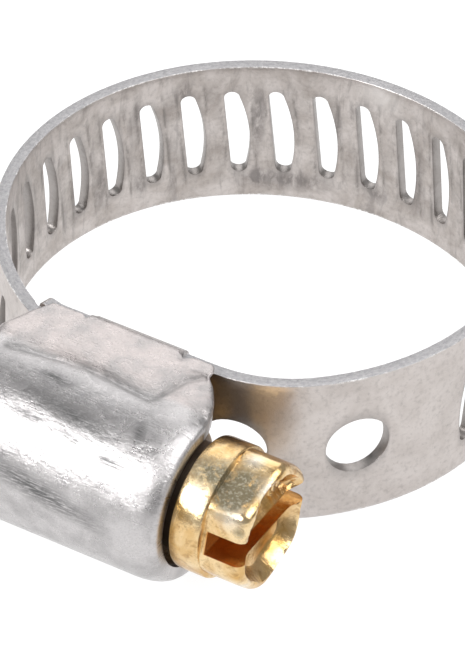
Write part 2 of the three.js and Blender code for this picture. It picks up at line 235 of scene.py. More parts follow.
def finished_strip(name, mesh, open_ends):
    """Gives the flat sheet its thickness and rolled edges, and bends it along the route."""
    bmesh.ops.remove_doubles(mesh, verts=mesh.verts, dist=1e-6)
    bmesh.ops.translate(mesh, verts=mesh.verts, vec=(0, -STRIP / 2, 0))
    raised = bmesh.ops.extrude_face_region(mesh, geom=list(mesh.faces), use_keep_orig=True)["geom"]
    outer = [v for v in raised if isinstance(v, bmesh.types.BMVert)]
    bmesh.ops.translate(mesh, verts=outer, vec=(0, STRIP, 0))
    bmesh.ops.recalc_face_normals(mesh, faces=mesh.faces)
    sharp = []
    for edge in mesh.edges:
        at_seam = any(all(abs(v.co.x - end) < 1e-6 for v in edge.verts) for end in open_ends)
        if not at_seam and edge.calc_face_angle(0) > 1:
            sharp.append(edge)
    bmesh.ops.bevel(mesh, geom=sharp, offset=EDGE_ROLL, offset_type="OFFSET", segments=2, profile=0.5,
                    affect="EDGES", material=-1, clamp_overlap=True)
    flat_layer = mesh.verts.layers.float_vector.new("strip")
    # The "punched" mask: slot and hole walls at 1, the ring beside them at 0.6; the finish paints shade
    # there.
    slot_wall_shade_layer = mesh.verts.layers.float.new("punched")
    for vert in mesh.verts:
        flat = vert.co.copy()
        in_wall = abs(flat.y) < 0.499 * STRIP
        vert[slot_wall_shade_layer] = 1.0 if in_wall and abs(flat.z) < HALF_WIDTH - 4 * EDGE_ROLL else 0.0
        vert[flat_layer] = flat / MM
    for edge in mesh.edges:
        first, second = edge.verts
        for near, far in ((first, second), (second, first)):
            if near[slot_wall_shade_layer] == 1.0 and far[slot_wall_shade_layer] == 0.0:
                far[slot_wall_shade_layer] = 0.6
    for vert in mesh.verts:
        vert.co = on_strip(vert.co)
    bmesh.ops.recalc_face_normals(mesh, faces=mesh.faces)
    data = bpy.data.meshes.new(name)
    mesh.to_mesh(data)
    mesh.free()
    data.shade_smooth()
    data.set_sharp_from_angle(angle=math.radians(28))
    piece = bpy.data.objects.new(name, data)
    bpy.context.scene.collection.objects.link(piece)
    return piece


# ---------------------------------------------------------------- band: finish
# Satin stainless strip: fine rolling lines along it, rub marks and faint dents between the
# slots from the punch, and grey smears of press oil. Painted highlights lie along the rolled
# edges and in one patch inside; painted shade darkens the slot walls.


class Number:
    """A shader value that joins in Python sums."""

    def __init__(self, finish, socket):
        self.finish = finish
        self.socket = socket

    def sum(self, operation, first, second, clamp=False):
        settings = {"operation": operation, "use_clamp": clamp}
        return self.finish.node("ShaderNodeMath", settings, {0: first, 1: second})

    def __add__(self, other):
        return self.sum("ADD", self, other)

    def __sub__(self, other):
        return self.sum("SUBTRACT", self, other)

    def __rsub__(self, other):
        return self.sum("SUBTRACT", other, self)

    def __mul__(self, other):
        return self.sum("MULTIPLY", self, other)

    def clip(self):
        return self.sum("ADD", self, 0.0, clamp=True)

    __radd__ = __add__
    __rmul__ = __mul__


class Finish:
    """One material: a Principled shader and the nodes that vary it."""

    def __init__(self, name, metallic, roughness):
        self.material = bpy.data.materials.new(name)
        self.material.use_nodes = True
        self.tree = self.material.node_tree
        self.shader = self.tree.nodes["Principled BSDF"]
        self.shader.inputs["Metallic"].default_value = metallic
        self.shader.inputs["Roughness"].default_value = roughness

    def node(self, kind, settings=None, inputs=None, output=0):
        made = self.tree.nodes.new(kind)
        for key, value in (settings or {}).items():
            if key == "stops":
                ramp = made.color_ramp
                while len(ramp.elements) < len(value):
                    ramp.elements.new(0.5)
                for element, (position, level) in zip(ramp.elements, value):
                    element.position = position
                    element.color = level if isinstance(level, tuple) else (level, level, level, 1)
            else:
                setattr(made, key, value)
        for key, value in (inputs or {}).items():
            if isinstance(value, Number):
                self.tree.links.new(value.socket, made.inputs[key])
            else:
                made.inputs[key].default_value = value
        return Number(self, made.outputs[output])

    def feed(self, name, value):
        self.tree.links.new(value.socket, self.shader.inputs[name])

    def stretched(self, source, scale):
        return self.node("ShaderNodeMapping", {"vector_type": "POINT"}, {"Vector": source, "Scale": scale})

    def noise(self, vector, scale, detail=4.0, roughness=0.6, distortion=0.0):
        inputs = {"Vector": vector, "Scale": scale, "Detail": detail, "Roughness": roughness}
        inputs["Distortion"] = distortion
        return self.node("ShaderNodeTexNoise", {}, inputs)

    def ramp(self, value, low, high):
        return self.node("ShaderNodeValToRGB", {"stops": [(low, 0.0), (high, 1.0)]}, {0: value})

    def mix(self, factor, first, second):
        settings = {"data_type": "RGBA", "clamp_factor": True}
        return self.node("ShaderNodeMix", settings, {0: factor, 6: first, 7: second}, output=2)

    def patch(self, source, middle, reach, turn=0.0, hardness=0.5):
        """One inside an oval, falling to nothing at its edge."""
        inputs = {"Vector": source, "Location": middle, "Rotation": (0, 0, turn), "Scale": reach}
        inside = self.node("ShaderNodeMapping", {"vector_type": "TEXTURE"}, inputs)
        away = self.node("ShaderNodeVectorMath", {"operation": "LENGTH"}, {0: inside}, output=1)
        return self.ramp(1 - away * 0.5, 0.5, 0.5 + 0.5 * hardness)

    def bump(self, height, strength, distance):
        inputs = {"Height": height, "Strength": strength, "Distance": distance}
        self.feed("Normal", self.node("ShaderNodeBump", {}, inputs))


def strip_finish():
    finish = Finish("satin_strip", metallic=1.0, roughness=0.36)
    strip = finish.node("ShaderNodeAttribute", {"attribute_name": "strip"}, {}, output=1)
    punched = finish.node("ShaderNodeAttribute", {"attribute_name": "punched"}, {}, output=2)
    along, out, up = [finish.node("ShaderNodeSeparateXYZ", {}, {0: strip}, output=n) for n in range(3)]
    depth, level = [finish.node("ShaderNodeMath", {"operation": "ABSOLUTE"}, {0: part}) for part in (out, up)]
    cut_edge = finish.ramp(level * 0.25, 0.95, 0.957)
    edge_highlight_line = finish.ramp(level * 0.25, 0.936, 0.942) * finish.ramp(depth * 3, 0.72, 0.8)
    grain = finish.noise(finish.stretched(strip, (0.6, 3.0, 9.0)), 2.0, 6.0, 0.7)
    mottle = finish.noise(strip, 0.55, 6.0, 0.66, 0.5)
    speck = finish.noise(strip, 4.2, 6.0, 0.75)
    drawn = finish.noise(finish.stretched(strip, (1.5, 1.0, 0.32)), 1.1, 6.0, 0.66, 0.9)
    smear = finish.ramp(drawn, 0.54, 0.68)
    # Rub marks left by the press: where along the strip, how high, how long and how tall.
    marks = [
        (57.9, -1.4, 0.4, 1.6), (53.3, 2.6, 0.5, 0.9), (43.4, -2.5, 0.8, 0.8), (45.6, 0.4, 0.4, 2.0),
        (55.7, 1.9, 0.4, 1.3), (49.5, 0.6, 0.45, 2.4), (49.45, -2.6, 0.5, 0.7), (55.5, -2.3, 0.5, 1.0),
        (48.0, -2.85, 3.2, 0.75), (41.0, -0.9, 0.5, 2.8), (59.4, -0.4, 0.5, 2.9), (14.4, 3.35, 0.24, 0.16),
    ]
    rub = None
    for middle, height, long, tall in marks:
        mark = finish.patch(strip, (middle, 0, height), (long, 9.0, tall), hardness=0.8)
        rub = mark if rub is None else rub + mark
    patchy = finish.noise(finish.stretched(strip, (1.6, 1.0, 0.7)), 2.0, 5.0, 0.7, 0.5)
    rub = (rub * finish.ramp(patchy, 0.3, 0.55)).clip()
    # The die dragged on the lands between slots and left dull upright outlines.
    units = (along - up * SLOT_LEAN - first_slot / MM) * (MM / PITCH)
    off_land = finish.node("ShaderNodeMath", {"operation": "PINGPONG"}, {0: units + 0.5, 1: 0.5})
    outline_stops = [(0.0, 0.25), (0.1, 0.35), (0.17, 1.0), (0.24, 0.0)]
    outline = finish.node("ShaderNodeValToRGB", {"stops": outline_stops}, {0: off_land})
    ragged = finish.noise(finish.stretched(strip, (0.9, 0.0, 0.35)), 1.1, 5.0, 0.7, 0.4)
    outline = outline * finish.ramp(ragged, 0.44, 0.6) * (1 - finish.ramp(level * 0.25, 0.62, 0.78))
    # A painted highlight: one bright patch on the inside near the top edge.
    painted_shine = finish.patch(strip, (43.3, 0, 3.4), (1.6, 9.0, 1.2), hardness=1.0)
    # The outside was rubbed clean; only the inside kept the marks.
    inside = finish.ramp(0.5 - out, 0.4, 0.6)
    kept = inside * 0.85 + 0.15
    light, warm, oil = (0.57, 0.527, 0.505, 1), (0.4, 0.36, 0.335, 1), (0.21, 0.195, 0.19, 1)
    colour = finish.mix(finish.ramp(mottle, 0.4, 0.64) * (kept * 0.7 + 0.3), light, warm)
    colour = finish.mix(finish.ramp(speck, 0.5, 0.72) * 0.4, colour, oil)
    colour = finish.mix(smear * kept * 0.45, colour, oil)
    colour = finish.mix(outline * inside * 0.8, colour, (0.19, 0.175, 0.165, 1))
    colour = finish.mix(rub * inside * 0.75, colour, (0.16, 0.145, 0.14, 1))
    colour = finish.mix(painted_shine * inside * 0.5, colour, (0.85, 0.82, 0.8, 1))
    # Painted shade on the slot and hole walls and the ring beside them.
    colour = finish.mix(punched * 0.55, colour, (0.2, 0.19, 0.185, 1))
    sheared = finish.noise(finish.stretched(strip, (0.7, 1.0, 1.0)), 6.0, 5.0, 0.8)
    edge_grain = finish.ramp(sheared, 0.36, 0.66)
    colour = finish.mix(cut_edge * 0.9, colour, (0.5, 0.49, 0.5, 1))
    colour = finish.mix(cut_edge * edge_grain * 0.8, colour, (0.27, 0.27, 0.28, 1))
    # Painted highlight: a broken near-white line along the rolled edges.
    painted_edge_highlight = edge_highlight_line * finish.ramp(speck, 0.46, 0.56) * finish.ramp(mottle, 0.42, 0.6)
    colour = finish.mix(painted_edge_highlight * 0.8, colour, (0.95, 0.94, 0.93, 1))
    finish.feed("Base Color", colour)
    rough = grain * 0.18 + mottle * 0.2 + speck * 0.12 + cut_edge * 0.15 - painted_shine * 0.1 + 0.16
    finish.feed("Roughness", rough.clip())
    height = grain * 0.35 + speck * 0.5 + mottle * 1.3 - rub * 0.5 + cut_edge * speck * 2.0
    finish.bump(height, 0.5, 0.035 * MM)
    return finish.material


STRIP_FINISH = strip_finish()

# ---------------------------------------------------------------- band: captive end and loop
# The captive stretch is held by the housing's tabs. The loop bends as the worm pulls the band in;
# here it is made in stretches that each span one of the cuts between the frame's links.

links = [f"link_{n}" for n in range(1, 8)] + [f"entry_{n}" for n in range(1, 4)]
LINK_CUTS = [-0.5, 2.5, 5.5, 8.5, 11.5, 14.5, 17.5, 21.5, 22.5, 23.5]
SEAMS = [1.5, 4.5, 7.5, 10.5, 13.5, 16.5, 20.5, 22.3, 23.3, 24.3]
NOTCH = (-2.65 * MM, 2.15 * MM)
NOTCH_DEPTH = 0.5 * MM
CORNER_ROUND = 0.4 * MM
HOLE_AT = math.radians(-39.3)
outer_hole = loop_start + LOOP_RADIUS * (HOLE_AT + math.pi / 2 - corner)
straight_start = ROUTE[0][0] + ROUTE[1][0] - (LIP_X + lip_run)


def strip_finish_on(piece):
    piece.data.materials.append(STRIP_FINISH)


def blend_over(piece, cut, reach_before, reach_after):
    """Bakes a stretch's placement into its mesh; the points either side of the cut are found but not used."""
    start = on_strip(Vector((slot_at(cut - reach_before), 0, 0)))
    end = on_strip(Vector((slot_at(cut + reach_after), 0, 0)))
    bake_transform(piece)


def captive_stretch():
    mesh = bmesh.new()
    holes = [outer_hole - 2.5 * PITCH, outer_hole]
    reach = 1.85 * MM
    plain_cell(mesh, 0, CORNER_ROUND, step=0.1 * MM)
    for vert in mesh.verts:
        left = math.sqrt(max(0.0, 1 - (1 - vert.co.x / CORNER_ROUND) ** 2))
        vert.co.z *= 1 - CORNER_ROUND * (1 - left) / HALF_WIDTH
    plain_cell(mesh, CORNER_ROUND, holes[0] - reach)
    punched_cell(mesh, holes[0] - reach, holes[0] + reach, hole_outline, holes[0])
    plain_cell(mesh, holes[0] + reach, holes[1] - reach)
    punched_cell(mesh, holes[1] - reach, holes[1] + reach, hole_outline, holes[1])
    plain_cell(mesh, holes[1] + reach, slot_at(-0.5))
    for number in (0, 1):
        punched_cell(mesh, slot_at(number - 0.5), slot_at(number + 0.5), slot_outline, slot_at(number))
    bmesh.ops.remove_doubles(mesh, verts=mesh.verts, dist=1e-6)
    notch(mesh, straight_start + NOTCH[0], straight_start + NOTCH[1], NOTCH_DEPTH)
    return finished_strip("captive_stretch", mesh, [slot_at(SEAMS[0])])


captive = captive_stretch()
strip_finish_on(captive)
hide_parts("band_captive")
blend_over(captive, LINK_CUTS[0], 0.9, 1.4)


def loop_stretch(index):
    start, end = SEAMS[index], SEAMS[index + 1]
    mesh = bmesh.new()
    edge = math.floor(start + 0.5) + 0.5 if (start + 0.5) % 1 > 1e-6 else start
    if edge > start:
        plain_cell(mesh, slot_at(start), slot_at(edge))
    number = math.ceil(edge)
    while number + 0.5 <= end + 1e-6:
        punched_cell(mesh, slot_at(number - 0.5), slot_at(number + 0.5), slot_outline, slot_at(number))
        number += 1
    last = number - 0.5
    if end > last + 1e-6:
        # The seam lies just behind this cell's slot, so the cell is a short one.
        punched_cell(mesh, slot_at(last), slot_at(end), slot_outline, slot_at(number))
    return finished_strip(f"loop_stretch_{index + 1}", mesh, [slot_at(start), slot_at(end)])


for index in range(9):
    stretch = loop_stretch(index)
    strip_finish_on(stretch)
    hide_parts(f"band_{links[index]}")
    cut = LINK_CUTS[index + 1]
    reach_before = min(1.0, cut - SEAMS[index])
    reach_after = min(1.0, SEAMS[index + 1] - cut)
    blend_over(stretch, cut, reach_before, reach_after)

# ---------------------------------------------------------------- band: tail
# The free end of the strip lies in the housing's channel with its slots on the worm's thread,
# and its tip has rounded corners. The last of the loop ends at the housing's mouth.

TIP_RADIUS = 2.2 * MM
entry_seam = slot_at(24.5)
tail_tip = channel_start + tail_high[0] - place_on_route(channel_start)[0]


def entry_stretch():
    mesh = bmesh.new()
    plain_cell(mesh, slot_at(SEAMS[9]), entry_seam)
    return finished_strip("entry_stretch", mesh, [slot_at(SEAMS[9]), entry_seam])


entry = entry_stretch()
strip_finish_on(entry)
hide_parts("band_entry_3")
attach(entry, "entry_3")


def tail_stretch():
    mesh = bmesh.new()
    for number in (25, 26, 27):
        end = slot_at(number + 0.5) if number < 27 else slot_at(27.3)
        punched_cell(mesh, slot_at(number - 0.5), end, slot_outline, slot_at(number))
    plain_cell(mesh, slot_at(27.3), tail_tip, step=0.1 * MM)
    for vert in mesh.verts:
        past = vert.co.x - (tail_tip - TIP_RADIUS)
        if past > 0:
            left = math.sqrt(max(0.0, 1 - (past / TIP_RADIUS) ** 2))
            vert.co.z *= 1 - TIP_RADIUS * (1 - left) / HALF_WIDTH
    return finished_strip("tail_stretch", mesh, [entry_seam])


tail = tail_stretch()
strip_finish_on(tail)
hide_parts("band_tail")
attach(tail, "tail")

# ---------------------------------------------------------------- housing: pressed sheet
# One piece of stainless sheet rolled round the screw: a barrel with curled ends, two flat
# shoulders beside it, and a tab on each shoulder folded over the strip to clinch it.

AXIS = hinges["screw_spin"]
SHEET = 0.42 * MM
BARREL = 4.2 * MM
TAB = (-2.55 * MM, 2.05 * MM)
TAB_BEND, WALL_EDGE = -11.06, -12.15  # y of the rows where the tabs and the end walls stop
COLLAR_HOLE, PILOT_HOLE = 3.2, 2.55
CREASE_DEPTH, CREASE_LINE, CREASE_SLOPE = 0.07, 0.17, 0.55
STRIP_CLEAR = -11.72  # y beyond which the crease can't reach the strip
# The strip's side of the housing in section, from the end of a tab's leg to the barrel.
FOLD = [
    (-10.1, 1.9), (-10.1, 3.65), (-10.2, 3.82), (-10.42, 3.92), (-10.68, 4.14), (-10.86, 4.32),
    (-11.06, 4.34), (-12, 4.34), (-13.9, 4.3),
]
# The crease pressed across the shoulder, as points (x, y).
CREASE = [
    (-4.6, -14.55), (-4.0, -14.5), (-1.8, -14.1), (-0.2, -14.03), (1.3, -14.27), (2.65, -14.44),
    (2.92, -13.87), (3.27, -12.5), (4.13, -11.56),
]
# How far each end of the sheet reaches from the middle, as (y, reach): the screw's head end, then
# the other.
END_CURVE = [
    (-11.05, 3.85), (-11.2, 4.0), (-11.5, 4.12), (-11.9, 4.15), (-12.3, 4.6), (-13.0, 5.1),
    (-13.8, 5.4), (-14.6, 5.55),
]
START_CURVE = [(-11.05, 4.45), (-11.6, 4.75), (-12.57, 5.3), (-13.3, 5.75), (-14.6, 5.85)]


def between(points, at):
    """Reads a curve given as a list of points, with its first coordinate falling."""
    for (first, low), (second, high) in zip(points, points[1:]):
        if at > second:
            return low + (high - low) * min(1, max(0, (at - first) / (second - first)))
    return points[-1][1]


def section_points():
    upper = []
    for (y0, z0), (y1, z1) in zip(FOLD, FOLD[1:]):
        steps = max(1, round(math.hypot(y1 - y0, z1 - z0) / 0.12))
        upper += [(y0 + (y1 - y0) * n / steps, z0 + (z1 - z0) * n / steps) for n in range(steps)]
    barrel = []
    for turn in range(-12, 190, 2):
        angle = math.radians(turn)
        y = AXIS.y / MM - BARREL / MM * math.sin(angle)
        barrel.append((y, AXIS.z / MM + BARREL / MM * math.cos(angle)))
    points = upper + barrel + [(y, -z) for y, z in reversed(upper)]
    for _ in range(3):
        trios = zip(points, points[1:], points[2:])
        softened = [tuple((a + 2 * b + c) / 4 for a, b, c in zip(*trio)) for trio in trios]
        points = [points[0]] + softened + [points[-1]]
    return points


def crease_depth(x, y):
    """How far the sheet is pressed in at a point of the shoulder, in millimetres."""
    spot = Vector((x, y))
    points = [Vector(point) for point in CREASE]
    nearest = min(
        (spot - (a + (b - a) * min(1, max(0, (spot - a).dot(b - a) / (b - a).length_squared)))).length
        for a, b in zip(points, points[1:])
    )
    clear_of_strip = min(1, max(0, (STRIP_CLEAR - y) / 0.3))
    line, slope = [math.exp(-((nearest / reach) ** 2)) for reach in (CREASE_LINE, CREASE_SLOPE)]
    return clear_of_strip * CREASE_DEPTH * (line + slope)


def pressed_housing():
    rows = section_points()
    # Columns go from one curled end's hole over the sheet to the other's.
    wall = [("wall", n / 4) for n in range(4, 0, -1)]
    curl = [("curl", n / 6) for n in range(6, 0, -1)]
    left = [("left", n / 16) for n in range(16, 0, -1)]
    middle = [("middle", n / 30) for n in range(31)]
    right = [(kind, part) for kind, part in reversed(wall + curl + left)]
    columns = [(-1, *c) for c in wall + curl + left] + [(1, *c) for c in middle + right]
    mesh = bmesh.new()
    flat_layer = mesh.verts.layers.float_vector.new("sheet")
    spans = {"x_segments": len(columns) - 1, "y_segments": len(rows) - 1}
    grid = bmesh.ops.create_grid(mesh, size=0.5, **spans)["verts"]
    along = [0]
    for (y0, z0), (y1, z1) in zip(rows, rows[1:]):
        along.append(along[-1] + math.hypot(y1 - y0, z1 - z0))
    upper_rows = [(abs(y - AXIS.y / MM), distance) for (y, z), distance in zip(rows, along) if z >= 0]
    crown = min(upper_rows)[1]
    placed = {}
    for vert in grid:
        column = round((vert.co.x + 0.5) * (len(columns) - 1))
        row = round((vert.co.y + 0.5) * (len(rows) - 1))
        placed[vert] = (column, row)
    gone = []
    for face in mesh.faces:
        spots = [placed[v] for v in face.verts]
        kinds = {columns[c][1] for c, _ in spots}
        y = max(rows[r][0] for _, r in spots)
        if y > TAB_BEND and kinds != {"middle"} or y > WALL_EDGE and "wall" in kinds:
            gone.append(face)
    bmesh.ops.delete(mesh, geom=gone, context="FACES")
    for vert in mesh.verts:
        column, row = placed[vert]
        side, kind, part = columns[column]
        y, z = rows[row]
        before, after = rows[max(0, row - 1)], rows[min(len(rows) - 1, row + 1)]
        normal = Vector((0, before[1] - after[1], after[0] - before[0])).normalized()
        if normal.dot(Vector((0, y - AXIS.y / MM, z))) < 0:
            normal = -normal
        end = between(END_CURVE if side > 0 else START_CURVE, y)
        blend = min(1, max(0, (-11.9 - y) / 2.2))
        length, inset = 0.15 + (1.3 if side > 0 else 0.6) * blend, 0.06 + (0.5 if side > 0 else 0.4) * blend
        point = Vector((0, y, z))
        axis = Vector((0, AXIS.y / MM, AXIS.z / MM))
        inward = (axis - point).normalized() * blend - normal * (1 - blend)
        inward.normalize()
        edge = TAB[side > 0] / MM
        if kind == "middle":
            x = TAB[0] / MM + (TAB[1] - TAB[0]) / MM * part
        elif kind == "left":
            x = edge + (side * (end - length) - edge) * part
        else:
            turn = part * math.pi / 2 if kind == "curl" else math.pi / 2
            x = side * (end - length + length * math.sin(turn))
            point += inward * inset * (1 - math.cos(turn))
            if kind == "wall":
                hole = COLLAR_HOLE if side > 0 else PILOT_HOLE
                reach = (axis - point).length - hole
                point += inward * max(0, reach) * part
        if kind == "left" and y < -11.02 and y > -11.6:
            near = math.exp(-(((abs(x) - 2.5) / 0.22) ** 2))
            point.y -= 0.3 * near * (y + 11.6) / 0.55
        pressed_in = crease_depth(x, y) if kind in ("middle", "left") and y < -11.3 else 0
        point -= normal * pressed_in
        vert[flat_layer] = Vector((x, along[row] - crown, 5 * pressed_in))
        vert.co = Vector((x, point.y, point.z)) * MM
    bmesh.ops.recalc_face_normals(mesh, faces=mesh.faces)
    outermost = min(mesh.faces, key=lambda f: f.calc_center_median().y)
    if outermost.normal.y > 0:
        bmesh.ops.reverse_faces(mesh, faces=mesh.faces)
    data = bpy.data.meshes.new("pressed_housing")
    mesh.to_mesh(data)
    mesh.free()
    data.shade_smooth()
    piece = bpy.data.objects.new("pressed_housing", data)
    bpy.context.scene.collection.objects.link(piece)
    solidify = piece.modifiers.new("sheet", "SOLIDIFY")
    solidify.thickness = SHEET
    solidify.offset = -1
    rolled = piece.modifiers.new("rolled_edges", "BEVEL")
    rolled.width = 0.07 * MM
    rolled.segments = 2
    rolled.limit_method = "ANGLE"
    rolled.angle_limit = math.radians(50)
    return piece


def housing_finish():
    finish = Finish("pressed_steel", metallic=1.0, roughness=0.34)
    sheet = finish.node("ShaderNodeAttribute", {"attribute_name": "sheet"}, {}, output=1)
    streak = finish.noise(finish.stretched(sheet, (0.6, 5.0, 0.3)), 2.4, 6.0, 0.72)
    mottle = finish.noise(sheet, 0.55, 5.0, 0.6, 0.2)
    cloud = finish.noise(sheet, 1.6, 5.0, 0.66, 0.2)
    speck = finish.noise(sheet, 11.0, 6.0, 0.8)
    # Scuffs along the barrel: middle, turn, half length and half width on the sheet.
    scuffs = [
        (0.1, 2.0, 0.15, 3.4, 0.62), (-0.4, 5.75, 0.2, 4.6, 0.8), (-1.6, 2.75, 0.1, 1.4, 0.3),
        (2.6, 3.3, 0.05, 1.5, 0.34), (0.6, 3.0, 0.1, 1.0, 0.26), (3.3, 1.6, 1.2, 0.7, 0.4),
        (-1.6, 0.6, 0.1, 1.3, 0.4),
    ]
    scuff = None
    for along, round_barrel, turn, long, wide in scuffs:
        one = finish.patch(sheet, (along, round_barrel, 0), (long, wide, 1.0), turn, 0.9)
        scuff = one if scuff is None else scuff + one
    scratched = finish.ramp(streak, 0.38, 0.52)
    scuff = (scuff * scratched).clip()
    # The pinkish shoulders were rubbed in the press; the barrel below the crease gets painted shade.
    beside = finish.node("ShaderNodeSeparateXYZ", {}, {0: sheet}, output=1)
    shoulder = finish.ramp(0.5 - beside * 0.1, 0.56, 0.6)
    pressed_in = finish.node("ShaderNodeSeparateXYZ", {}, {0: sheet}, output=2)
    # Painted shade: a dark line along the pressed crease, broken by cloud noise.
    crease_shade = finish.ramp(pressed_in, 0.2, 0.62) * finish.ramp(cloud, 0.35, 0.62)
    # Painted shade on the barrel just below the crease.
    shade = finish.patch(sheet, (0.0, 0.9, 0), (9.0, 1.7, 4.0), 0.0, 1.0)
    light, pink = (0.56, 0.54, 0.54, 1), (0.55, 0.5, 0.488, 1)
    grey, dark = (0.37, 0.357, 0.357, 1), (0.12, 0.12, 0.12, 1)
    colour = finish.mix(shoulder, light, pink)
    colour = finish.mix(finish.ramp(mottle, 0.42, 0.62) * 0.7, colour, grey)
    colour = finish.mix(shade * finish.ramp(cloud, 0.25, 0.55) * 0.85, colour, (0.33, 0.32, 0.325, 1))
    colour = finish.mix(finish.ramp(speck, 0.48, 0.72) * 0.42, colour, dark)
    colour = finish.mix(crease_shade * 0.65, colour, dark)
    colour = finish.mix(scuff * 0.95, colour, dark)
    finish.feed("Base Color", colour)
    finish.feed("Roughness", (streak * 0.12 + cloud * 0.26 + speck * 0.22 + scuff * 0.2).clip())
    height = streak * 0.5 + speck * 0.16 + cloud * 1.0 + mottle * 2.0 - scuff * 0.1
    finish.bump(height, 0.8, 0.05 * MM)
    return finish.material


pressed = pressed_housing()
pressed.data.materials.append(housing_finish())
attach(pressed, "base")
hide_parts("housing")

# ---------------------------------------------------------------- worm screw
# Turned and rolled steel screw, plated yellow: a pilot, a core with one thread, a neck in the
# housing's end, a round collar, and a six-sided head struck with a driver slot.

HEAD_END = 9.3 * MM
SLOT_FLOOR = 7.45 * MM
HEAD_ROUND = 3.03 * MM
# Flats pressed on the head: degrees from straight up, turning away from the loop, and distance
# from the screw's axis.
FLATS = [(15, 2.62), (75, 2.72), (135, 2.88), (195, 2.8), (255, 2.8), (315, 2.97)]
SLOT_RISE, SLOT_WIDE = 0.33 * MM, 1.1 * MM
CUP_RADIUS, CUP_DEPTH = 2.5 * MM, 0.8 * MM
SLOT_LIP = 0.45 * MM
RIM_ROUND = 0.45 * MM


def flat_radius(turn):
    """The head's radius at a turn: the round blank, less the flats with their soft corners."""
    radius = HEAD_ROUND / MM
    for degrees, across in FLATS:
        off = math.cos(turn - math.radians(degrees))
        if off > 0.3:
            radius = (radius**-40 + (across / off) ** -40) ** (-1 / 40)
    return radius * MM


def around_axis(x, radius, turn):
    return Vector((x, AXIS.y - radius * math.sin(turn), AXIS.z + radius * math.cos(turn)))


def turned_screw():
    mesh = bmesh.new()
    sides = 144
    rings = [n / 10 * (1 - RIM_ROUND / HEAD_ROUND) for n in range(11)]
    rings += [1 - RIM_ROUND / HEAD_ROUND * (1 - math.sin(n / 6 * math.pi / 2)) for n in range(1, 7)]
    profile = [("floor", ring, SLOT_FLOOR) for ring in rings]
    profile += [("hex", 1, x * MM) for x in (7.38, 7.31, 7.25)]
    profile += [("round", r * MM, x * MM) for r, x in (
        (3.0, 7.25), (3.07, 7.22), (3.1, 7.15), (3.1, 6.8), (3.1, 6.4), (3.1, 5.95), (3.07, 5.8),
        (2.98, 5.73), (2.5, 5.73), (2.5, 4.55), (2.95, 4.45), (2.95, -4.2), (2.85, -4.3),
        (2.2, -4.3), (2.2, -5.4), (2.1, -5.5), (0, -5.5))]
    spans = {"x_segments": sides, "y_segments": len(profile) - 1}
    grid = bmesh.ops.create_grid(mesh, size=0.5, **spans)["verts"]
    for vert in grid:
        turn = (vert.co.x + 0.5) * 2 * math.pi
        kind, size, x = profile[round((vert.co.y + 0.5) * (len(profile) - 1))]
        radius = size if kind == "round" else size * flat_radius(turn)
        vert.co = around_axis(x, radius, turn)
    bmesh.ops.remove_doubles(mesh, verts=mesh.verts, dist=1e-7)
    levels = [AXIS.z + SLOT_RISE + side * SLOT_WIDE / 2 for side in (-1, 1)]
    for level in levels:
        floor_faces = [f for f in mesh.faces if all(v.co.x > SLOT_FLOOR - 1e-7 for v in f.verts)]
        geometry = floor_faces + list({e for f in floor_faces for e in f.edges})
        geometry += list({v for f in floor_faces for v in f.verts})
        bmesh.ops.bisect_plane(mesh, geom=geometry, dist=1e-7, plane_co=(0, 0, level), plane_no=(0, 0, 1))
    standing = []
    for face in mesh.faces:
        z = face.calc_center_median().z
        if all(v.co.x > SLOT_FLOOR - 1e-7 for v in face.verts) and not levels[0] < z < levels[1]:
            standing.append(face)
    raised = bmesh.ops.extrude_face_region(mesh, geom=standing)["geom"]
    bmesh.ops.delete(mesh, geom=[f for f in standing if f.is_valid], context="FACES")
    for vert in raised:
        if isinstance(vert, bmesh.types.BMVert):
            across, high = AXIS.y - vert.co.y, vert.co.z - AXIS.z
            radius = math.hypot(across, high)
            past = (radius - flat_radius(math.atan2(across, high))) / RIM_ROUND + 1
            dish = min(1, 2.2 * max(0, 1 - (radius / CUP_RADIUS) ** 2))
            from_slot = (abs(high - SLOT_RISE) - SLOT_WIDE / 2) / SLOT_LIP
            dish *= 0.25 + 0.75 * math.sin(min(1, max(0, from_slot)) * math.pi / 2)
            vert.co.x = HEAD_END - CUP_DEPTH * math.sin(dish * math.pi / 2)
            if past > 0:
                vert.co.x -= RIM_ROUND * (1 - math.sqrt(max(0, 1 - past * past)))
    bmesh.ops.recalc_face_normals(mesh, faces=mesh.faces)
    sharp = [e for e in mesh.edges if e.calc_face_angle(0) > 0.9 and min(v.co.x for v in e.verts) > 7.2 * MM]
    bmesh.ops.bevel(mesh, geom=sharp, offset=0.07 * MM, offset_type="OFFSET", segments=2, profile=0.5,
                    affect="EDGES", material=-1, clamp_overlap=True)
    thread_ribbon(mesh)
    data = bpy.data.meshes.new("worm_screw")
    mesh.to_mesh(data)
    mesh.free()
    data.shade_smooth()
    data.set_sharp_from_angle(angle=math.radians(26))
    piece = bpy.data.objects.new("worm_screw", data)
    bpy.context.scene.collection.objects.link(piece)
    return piece


